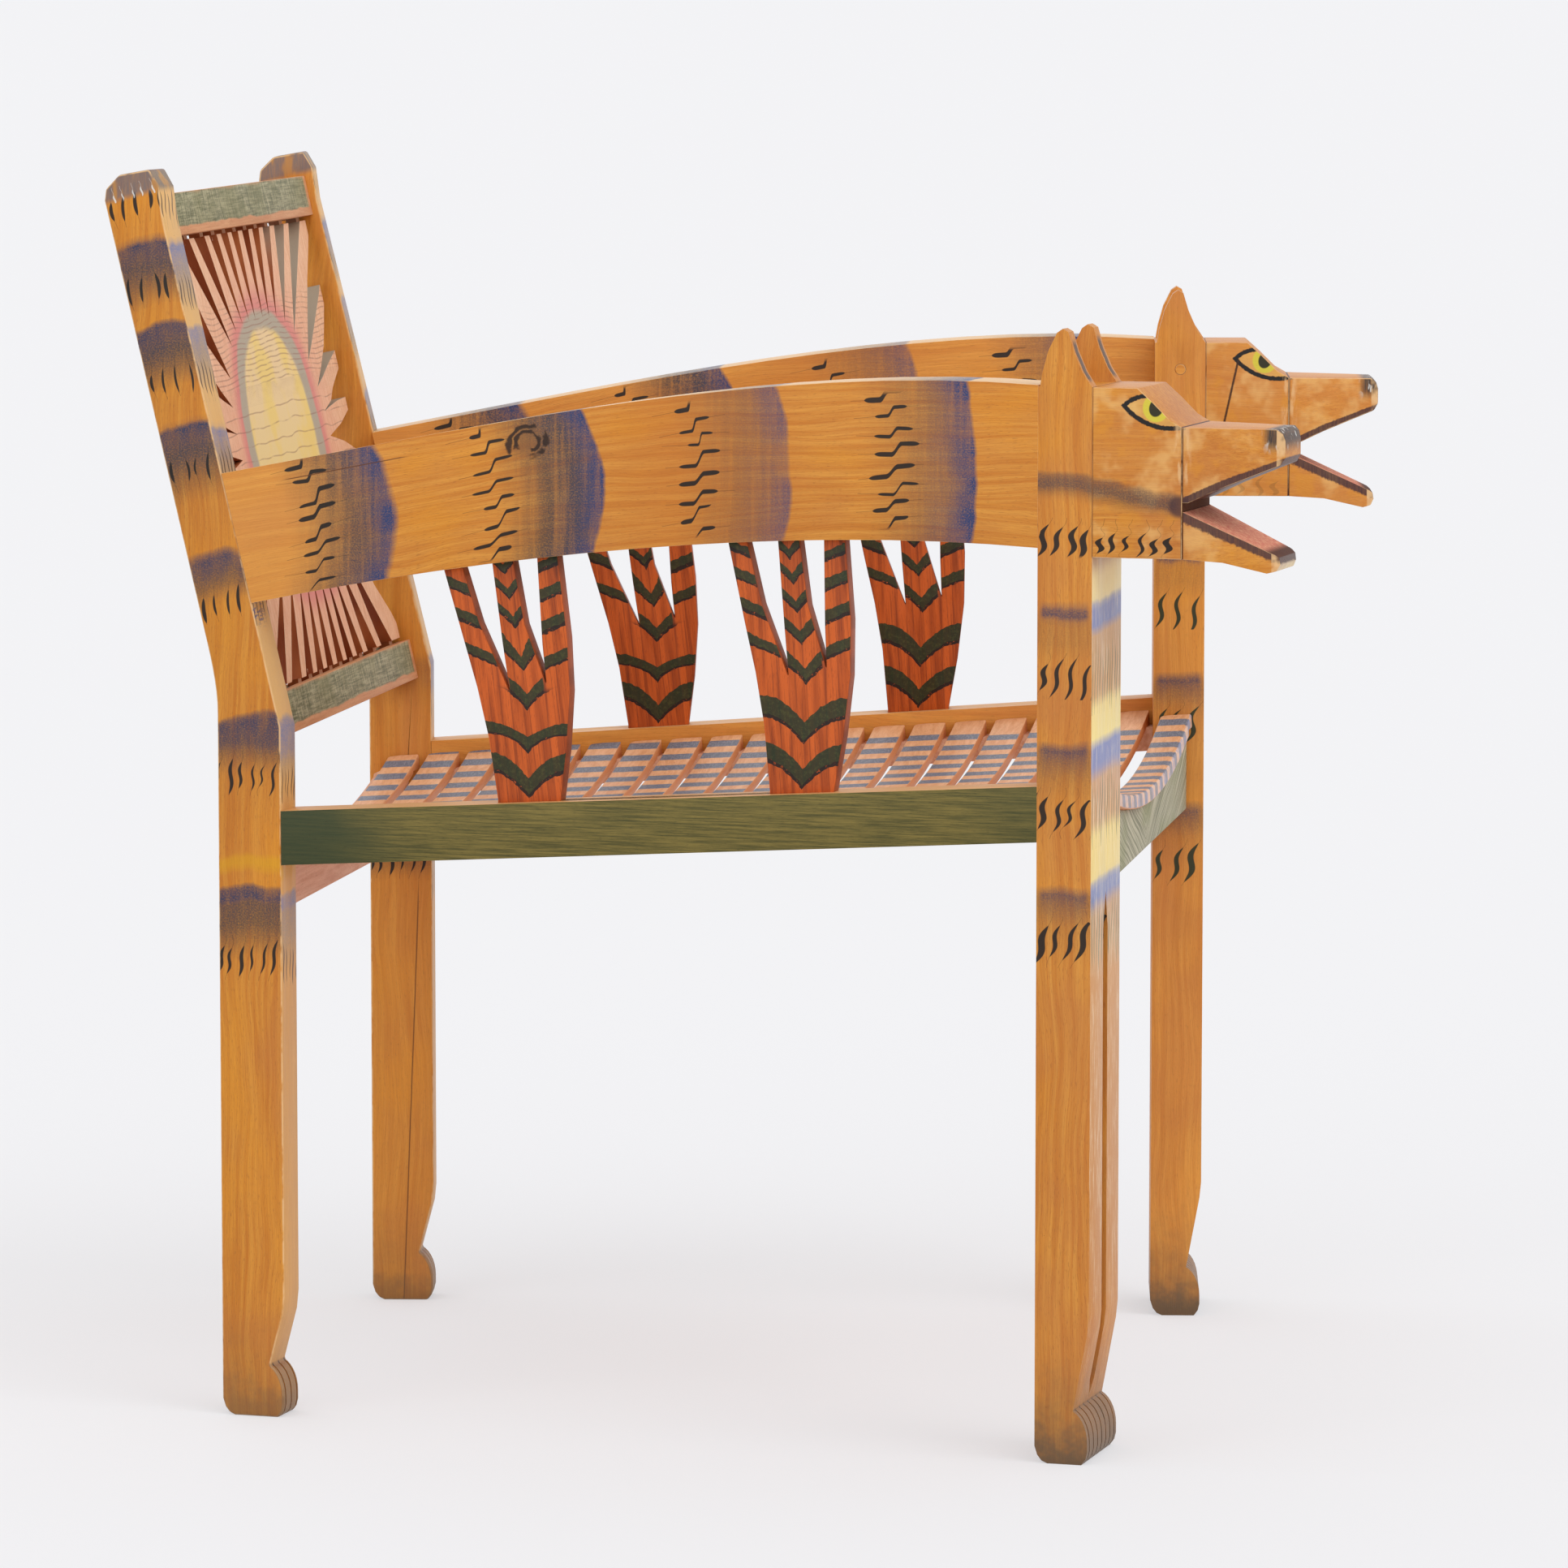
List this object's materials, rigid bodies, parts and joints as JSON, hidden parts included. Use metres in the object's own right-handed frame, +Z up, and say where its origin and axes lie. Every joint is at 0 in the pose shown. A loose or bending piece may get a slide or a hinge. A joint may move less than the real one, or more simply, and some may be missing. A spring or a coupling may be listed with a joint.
{
  "type": "wooden armchair with carved animal forelegs",
  "caption": "Beech armchair whose front legs and arms form two open-mouthed animals, with a dished slatted seat and a raked fretwork sunburst back.",
  "frame": {"origin": "on the floor, under the middle of the bounding box", "axes": "+Z up, the seat faces -Y and the back is towards +Y, +X is the sitter's left"},
  "size_m": [0.6826, 0.8418, 0.875],
  "materials": {
    "stained_frame": "honey-stained beech with brush marks, worn satin varnish",
    "painted_head": "stained and painted beech, worn satin varnish",
    "olive_rail": "olive green wash on beech, satin",
    "green_rail": "grey green scratched wash on beech, matt",
    "washed_rail": "grey green wash on strongly grained beech, matt",
    "sun_panel": "pale wood with pink, grey green and yellow washes, matt",
    "red_baluster": "red-brown stained beech with green chevrons, satin",
    "striped_slat": "bare beech with slate blue stripes, satin",
    "plain_wood": "bare beech, matt",
    "steel": "dull zinc"
  },
  "bodies": {
    "root": {"rear_post_right": "stained_frame", "rear_post_left": "stained_frame", "front_leg_right": "stained_frame", "front_leg_left": "stained_frame", "cheek_right": "painted_head", "cheek_left": "painted_head", "upper_jaw_right": "painted_head", "upper_jaw_left": "painted_head", "lower_jaw_right": "painted_head", "lower_jaw_left": "painted_head", "arm_right": "stained_frame", "arm_left": "stained_frame", "side_rail_right": "olive_rail", "side_rail_left": "olive_rail", "ledger_right": "plain_wood", "ledger_left": "plain_wood", "front_rail": "washed_rail", "rear_rail": "plain_wood", "back_top_rail": "green_rail", "back_low_rail": "green_rail", "sun_panel": "sun_panel", "baluster_front_right": "red_baluster", "baluster_front_left": "red_baluster", "baluster_rear_right": "red_baluster", "baluster_rear_left": "red_baluster", "slat_01": "striped_slat", "slat_02": "striped_slat", "slat_03": "striped_slat", "slat_04": "striped_slat", "slat_05": "striped_slat", "slat_06": "striped_slat", "slat_07": "striped_slat", "slat_08": "striped_slat", "slat_09": "striped_slat", "slat_10": "striped_slat", "slat_11": "striped_slat", "slat_12": "striped_slat", "slat_13": "striped_slat", "slat_14": "striped_slat", "slat_15": "striped_slat", "slat_16": "striped_slat", "slat_17": "striped_slat", "slat_18": "striped_slat", "slat_19": "striped_slat", "slat_front": "striped_slat", "slat_pins": "plain_wood", "head_dowels": "plain_wood", "arm_pins": "plain_wood", "ledger_screws": "steel"}
  },
  "joints": []
}
